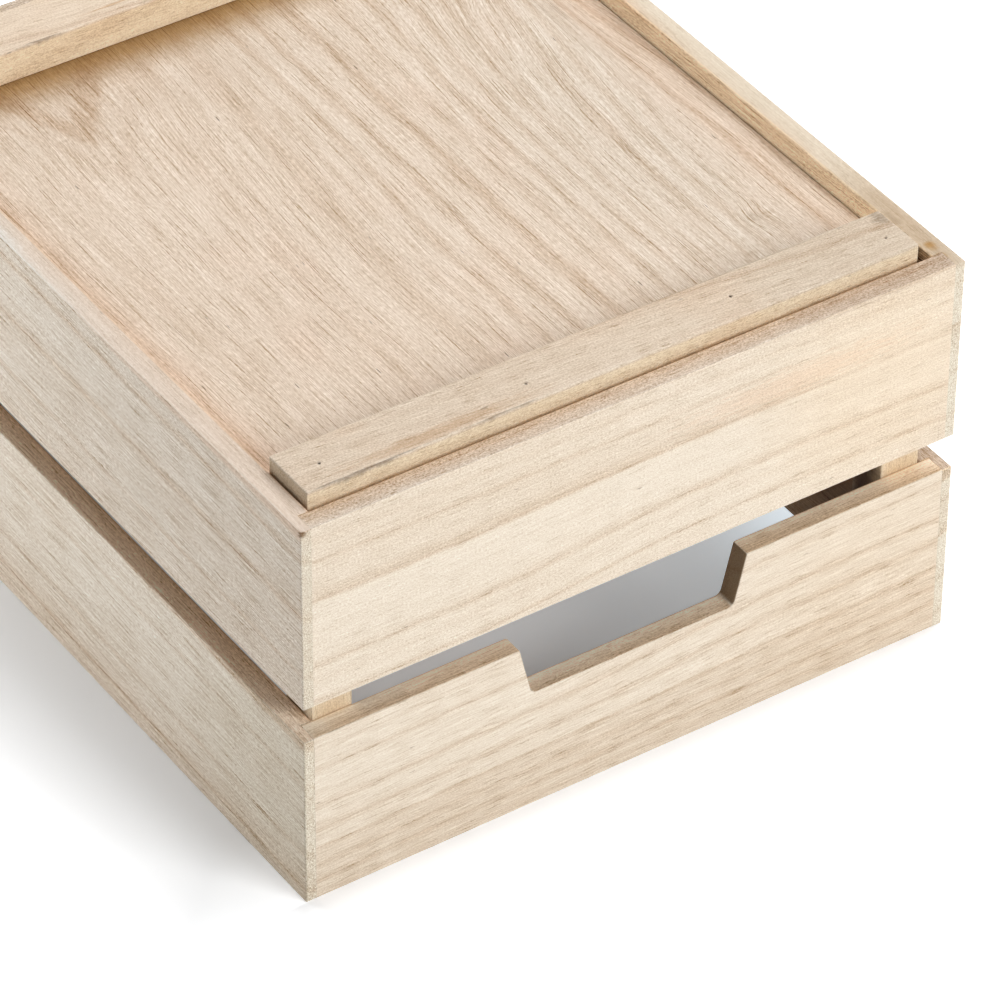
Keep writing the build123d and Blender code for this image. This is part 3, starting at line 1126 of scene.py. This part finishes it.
VENEER_LINES = [
    (-134, 0.26, 5, 5), (-113, 0.10, 5, 5), (-103, 0.06, 2, 2), (-61.5, 0.12, 4, 4),
    (-53.5, 0.10, 4, 4), (-30, 0.24, 10, 9), (-17, 0.14, 3.5, 3.5), (-3.5, 0.28, 5, 3.5),
    (10.2, 0.32, 4.5, 3.5), (27, 0.36, 6, 4), (40.5, 0.17, 4, 4), (52.4, 0.30, 3.5, 3),
    (63, 0.26, 3, 3), (72, 0.24, 3.5, 2.5), (76.3, 0.18, 2, 2), (84.5, 0.09, 2, 2),
    (90.5, 0.30, 5, 4), (101.2, 0.30, 4.5, 3), (111.5, 0.17, 6, 4), (128.3, 0.38, 3.5, 3),
    (140, 0.30, 3, 3),
]
VENEER_ZONES = [(-141, 0.20, 0.7), (-136, 0.22, 0.5), (-120, 0.22, 0.1), (-60, 0.20, 0.2),
                (-30, 0.19, 0.1), (20, 0.19, 0.1), (60, 0.19, 0.1), (110, 0.16, 0.1),
                (128, 0.20, 0.5), (141, 0.26, 0.5)]
VENEER_STAINS_AND_PAINTED_LIGHT = [
    # Painted shade: the dark slot between the front runner's end and the right wall
    ((-151, 139, 0), (16, 4, 4), colour(62, 44, 28), 1),
    ((-98, 106, 0), (5, 4, 4), colour(214, 206, 196), 0.5),
    # Painted shadow of the back runner on the veneer in front of it
    ((139, -40, 0), (30, 400, 4), colour(180, 156, 114), 1, 0.1),
    ((-40, 110, 0), (190, 90, 4), colour(250, 253, 255), 1, 0.1),
    # Painted light along the right wall's foot, lifting the wall's shadow there
    ((0, 139, 0), (900, 6, 4), (1.20, 1.24, 1.27, 1), 1, 0.1),
]
panel_top = box_mm("base_panel")[1].z
panel_material = wood_material(
    "base panel veneer", "base_panel", "Y", "X", ("Z", panel_top), VENEER_LINES, VENEER_ZONES,
    {"Wander": 1.2, "Wander Length": 110.0, "Waver": 0.16, "Fray": 0.06}, VENEER, VENEER_STAINS_AND_PAINTED_LIGHT,
    bend=veneer_bend, figure=veneer_cathedral)
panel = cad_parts["base_panel"]
panel.data.materials.clear()
panel.data.materials.append(panel_material)

# Nails, repeated over their places by geometry nodes
HEAD_RADIUS_MM = 0.8
HEAD_HEIGHT_MM = 0.8
SHANK_RADIUS_MM = 0.6
POINT_LENGTH_MM = 1.4
# Radius of a nail's tip, as a share of its shank's
TIP_SHARE = 0.1
# Sides of a round piece or hole
ROUND_SIDES = 20
# Specks in the steel, to a metre
STEEL_SPECKS = 2200.0


def nails_group():
    """Geometry nodes that stand a nail, with its head up, on each point."""
    g, given, result = new_group("nails", "GeometryNodeTree", {
        "Places": ("Geometry", None),
        "Head Radius": ("Float", 0.001),
        "Head Height": ("Float", 0.001),
        "Shank Radius": ("Float", 0.001),
        "Point Length": ("Float", 0.001),
        "Length": ("Float", 0.03),
        "Material": ("Material", None),
    }, {"Nails": "Geometry"})

    def turned(top, bottom, height, low):
        """A round piece of the nail, placed by its lower end."""
        sizes = {"Vertices": ROUND_SIDES, "Radius Top": top, "Radius Bottom": bottom, "Depth": height}
        cone = g.node("GeometryNodeMeshCone", sizes).outputs[0]
        inputs = {"Geometry": cone, "Translation": g.join(0.0, 0.0, low)}
        return g.node("GeometryNodeTransform", inputs).outputs[0]

    head_radius, head_height = given["Head Radius"], given["Head Height"]
    head = turned(head_radius, head_radius, head_height, g.times(head_height, -1.0))
    shank_radius = given["Shank Radius"]
    straight = g.minus(given["Length"], given["Point Length"])
    shank = turned(shank_radius, shank_radius, straight, g.times(straight, -1.0))
    tip_radius = g.times(shank_radius, TIP_SHARE)
    point = turned(shank_radius, tip_radius, given["Point Length"], g.times(given["Length"], -1.0))
    nail = g.node("GeometryNodeJoinGeometry")
    for part in (head, shank, point):
        g.tree.links.new(part, nail.inputs[0])
    inputs = {"Points": given["Places"], "Instance": nail.outputs[0]}
    stood = g.node("GeometryNodeInstanceOnPoints", inputs)
    return g.give(result, {"Nails": made_real(g, stood, given["Material"])})


def steel_material():
    """Dull bare steel of the sunk nails."""
    material, g = new_material("nail steel")
    coordinates = g.node("ShaderNodeTexCoord").outputs["Object"]
    spots = g.noise(g.scaled(coordinates, STEEL_SPECKS), 3.0)
    shade = g.mix(g.ramp(spots, -0.6, 0.8), colour(18, 16, 14), colour(38, 33, 28))
    rough = g.ramp(spots, -1.0, 1.0, 0.6, 0.85)
    shader = g.node("ShaderNodeBsdfPrincipled", {"Base Color": shade, "Roughness": rough, "Metallic": 0.5})
    g.node("ShaderNodeOutputMaterial", {"Surface": shader.outputs[0]})
    return material


NAILS = nails_group()
STEEL = steel_material()

# Nail places in millimetres, at the front and at the back
POST_NAILS_MM = {"front": [(-126.3, -150.5), (128.3, -152.6)], "back": [(126.3, 150.5), (-128.3, 152.6)]}
PANEL_NAILS_MM = {"front": [(-37.0, -152.5), (57.3, -150.4)], "back": [(-37.0, 152.5), (57.3, 150.4)]}


def stand_nails(node, places):
    """The nails of one CAD node, as one piece."""
    low, high = box_mm(node)
    mesh = bpy.data.meshes.new(node + "_places")
    everywhere = places["front"] + places["back"]
    mesh.from_pydata([(x * MM, y * MM, high.z * MM) for x, y in everywhere], [], [])
    points = add_object(node + "_places", mesh)
    add_group(points, "nails", NAILS, {
        "Head Radius": HEAD_RADIUS_MM * MM,
        "Head Height": HEAD_HEIGHT_MM * MM,
        "Shank Radius": SHANK_RADIUS_MM * MM,
        "Point Length": POINT_LENGTH_MM * MM,
        "Length": (high.z - low.z) * MM,
        "Material": STEEL,
    })
    piece = made_plain(points, node + "_dressed")
    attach(piece, "root")
    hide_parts(node)


stand_nails("post_nails", POST_NAILS_MM)
stand_nails("panel_nails", PANEL_NAILS_MM)

# Runners, drilled for the nails' heads from a little above their faces
HOLE_RADIUS_MM = 0.82
DRILL_ABOVE_MM = 2.0


def drill(places, low, high):
    """One cutter with a round bar at each place."""
    bm = bmesh.new()
    radius = HOLE_RADIUS_MM * MM
    for x, y in places:
        spot = Matrix.Translation((x * MM, y * MM, (low + high) / 2 * MM))
        bmesh.ops.create_cone(bm, cap_ends=True, segments=ROUND_SIDES, radius1=radius, radius2=radius,
                              depth=(high - low) * MM, matrix=spot)
    return add_mesh("drill", bm)


RUNNER_LINES = [(-158, 0.08, 3, 3), (-149, 0.08, 3, 3), (-141, 0.12, 2, 2),
                (-136, 0.34, 3, 3), (-131, 0.12, 2, 2)]
RUNNER_TONES = {"front": (0.26, 0.1), "back": (0.02, 0.6)}
RUNNER_STAINS = {
    # place along and across, size along and across, tint, strength
    "front": [
        (-80, -158.5, 60, 4.5, colour(226, 204, 180), 0.7),
        (-112, -162.5, 34, 0.6, colour(138, 128, 118), 0.7),
        (-52, -162.5, 20, 0.5, colour(150, 136, 120), 0.6),
        (-58, -156.5, 2.6, 1, colour(150, 132, 112), 0.6),
        (134, -141, 5, 7, colour(176, 168, 158), 0.6),
        (60, -137.4, 70, 0.9, colour(186, 174, 160), 0.5),
        (115, -150, 80, 60, colour(246, 246, 245), 1),
    ],
    "back": [
        (-72, 137.3, 16, 0.6, colour(138, 120, 100), 0.7),
        (-40, 143, 26, 0.7, colour(220, 190, 150), 0.6),
    ],
}
for wall, turn in (("front", 1), ("back", -1)):
    name = f"{wall}_runner"
    low, high = box_mm(name)
    lines = [(turn * place, strength, below, above) for place, strength, below, above in RUNNER_LINES]
    zones = [(place, *RUNNER_TONES[wall]) for place in (low.y, high.y)]
    stains_and_painted_light = [((x, y, 0.0), (long, wide, 3.0), tint, strength)
              for x, y, long, wide, tint, strength in RUNNER_STAINS[wall]]
    material = wood_material(name.replace("_", " "), name, "X", "Y", ("Z", high.z), lines, zones,
                             {"Wander": 1.2, "Lean": -0.08}, RUNNER_FACE, stains_and_painted_light, inside=(0.7, 1.5))
    places = POST_NAILS_MM[wall] + PANEL_NAILS_MM[wall]
    nail_top = box_mm("post_nails")[1].z
    cutter = drill(places, nail_top - HEAD_HEIGHT_MM, high.z + DRILL_ABOVE_MM)
    shape = solid(rectangle(low.x, low.y, high.x, high.y), "Z", low.z, high.z)
    weigh_edges(shape, [])
    dress(name, shape, material, cuts=[cutter])
    bpy.data.objects.remove(cutter)

# Camera, fitted to the photograph's edges. Its frame is 1000 by 1000
CAMERA_PLACE_MM = (-1068.03, -1652.83, 1597.18)
CAMERA_RIGHT = (0.83054435, -0.55689607, 0.00792754)
CAMERA_UP = (0.34429664, 0.5245618, 0.77864931)
CAMERA_BACK = (-0.43778522, -0.64397336, 0.62740928)
SENSOR_MM = 36.0
FOCAL_PIXELS = 6236.5
FRAME_PIXELS = 1000.0

camera_data = bpy.data.cameras.new("photograph")
camera_data.sensor_fit = "HORIZONTAL"
camera_data.sensor_width = SENSOR_MM
camera_data.lens = SENSOR_MM * FOCAL_PIXELS / FRAME_PIXELS
camera_data.clip_end = 20.0
camera = add_object("photograph", camera_data)
turned = Matrix((CAMERA_RIGHT, CAMERA_UP, CAMERA_BACK)).transposed().to_4x4()
camera.matrix_world = Matrix.Translation(Vector(CAMERA_PLACE_MM) * MM) @ turned
bpy.context.scene.camera = camera

# Floor: pale, with the box's shadow. What the camera sees of it glows a little, and less close
# to the box, which paints its shadow darker there. The distances are from a rectangle that stops
# short of the front wall
FLOOR_REACH_M = 6.0
FLOOR_COLOUR = (0.90, 0.92, 0.95, 1.0)
GLOW_CENTRE_MM = (0.0, 28.0)
GLOW_HALF_MM = (150.0, 147.0)
GLOW = [(-30, 0.16), (-15, 0.13), (6, 0.12), (30, 0.23), (45, 0.33), (60, 0.46)]
# Beside the box it glows less towards the back, which paints shade there
BESIDE_MM = (-175.0, 60.0)
BESIDE_SHARES = (1.12, 0.86)
# Far away it glows enough to be white in dim light too
FAR_MM = (60.0, 500.0)
FAR_GLOW = 0.7
# Inside the box it glows more towards the right wall, with a cool tint: painted light there
GLOW_INSIDE = [(-150, 0.01), (-30, 0.02), (41, 0.115), (89, 0.19), (115, 0.32), (131, 0.49), (150, 0.66)]
INSIDE_TINT = (0.86, 1.0, 1.10)
INSIDE_FADE_MM = (-2.0, -10.0)
# Close in front of the front wall it glows less: a painted contact shadow
FRONT_MM = 12.0
FRONT_SHARE = 0.6


def floor_material():
    material, g = new_material("studio floor")
    place = g.scaled(g.node("ShaderNodeTexCoord").outputs["Object"], 1.0 / MM)
    rightward, backward, _ = g.split(place)

    def outside(centre, half):
        """Distance outside a rectangle on the floor, below zero inside it."""
        away = g.vector("ABSOLUTE", g.vector("SUBTRACT", place, (*centre, 0.0)))
        x, y, _ = g.split(g.vector("SUBTRACT", away, (*half, 0.0)))
        return g.math("MAXIMUM", x, y)

    away_from_glow = outside(GLOW_CENTRE_MM, GLOW_HALF_MM)
    level = g.curve(away_from_glow, GLOW)
    box_half = cad_box[1] / MM
    from_box = outside((0.0, 0.0), (box_half.x, box_half.y))
    in_front = g.math("LESS_THAN", backward, -box_half.y)
    contact = g.ramp(from_box, FRONT_MM, 0.0, 0.0, 1.0 - FRONT_SHARE)
    level = g.times(level, g.minus(1.0, in_front, contact))
    level = g.times(level, g.ramp(backward, *BESIDE_MM, *BESIDE_SHARES))
    level = g.plus(level, g.ramp(away_from_glow, *FAR_MM, 0.0, FAR_GLOW))
    inside = g.times(g.ramp(from_box, *INSIDE_FADE_MM), g.curve(rightward, GLOW_INSIDE))
    shade = g.vector("ADD", g.join(level, level, level), g.scaled(INSIDE_TINT, inside))
    matte = g.node("ShaderNodeBsdfDiffuse", {"Color": FLOOR_COLOUR})
    glow = g.node("ShaderNodeEmission", {"Color": shade, "Strength": directly_seen(g)})
    both = g.node("ShaderNodeAddShader", {0: matte.outputs[0], 1: glow.outputs[0]})
    g.node("ShaderNodeOutputMaterial", {"Surface": both.outputs[0]})
    return material


floor_mesh = bpy.data.meshes.new("studio_floor")
floor_corners = rectangle(-FLOOR_REACH_M, -FLOOR_REACH_M, FLOOR_REACH_M, FLOOR_REACH_M)
floor_mesh.from_pydata([(x, y, 0.0) for x, y in floor_corners], [], [(0, 1, 2, 3)])
floor_mesh.materials.append(floor_material())
floor = add_object("studio_floor", floor_mesh)

# Light: two large soft lamps overhead and at the right, a broad one in front, a weak low one
# at the far left, and a pale room
ROOM_LIGHT = 0.12
world = bpy.data.worlds.new("studio")
bpy.context.scene.world = world
world.use_nodes = True
world.node_tree.nodes.clear()
g = Graph(world.node_tree)
level = g.ramp(directly_seen(g), 0.0, 1.0, ROOM_LIGHT, 1.0, smooth=False)
sky = g.node("ShaderNodeBackground", {"Color": (1.0, 1.0, 1.0, 1.0), "Strength": level})
g.node("ShaderNodeOutputWorld", {"Surface": sky.outputs[0]})

LAMP_TARGET = (0.0, 0.0, 0.09)
LAMPS = {
    # name: (place, size, watts, colour)
    "overhead": ((0.3, 0.8, 2.4), 1.5, 16.5, (1.0, 1.0, 1.0)),
    "right": ((1.2, 0.3, 1.9), 0.9, 16.0, (1.0, 1.0, 1.0)),
    "front": ((0.7, -2.3, 1.4), 1.2, 42.0, (1.0, 0.995, 0.985)),
    "left": ((-0.65, 0.95, 0.26), 0.5, 8.8, (0.96, 0.99, 1.0)),
}
for name, (place, size, watts, tint) in LAMPS.items():
    lamp_data = bpy.data.lights.new(name, "AREA")
    lamp_data.shape = "SQUARE"
    lamp_data.size = size
    lamp_data.energy = watts
    lamp_data.color = tint
    lamp = add_object(name, lamp_data)
    aim = Vector(LAMP_TARGET) - Vector(place)
    lamp.rotation_euler = aim.to_track_quat("-Z", "Y").to_euler()
    lamp.location = place

bpy.context.scene.view_settings.view_transform = "Standard"
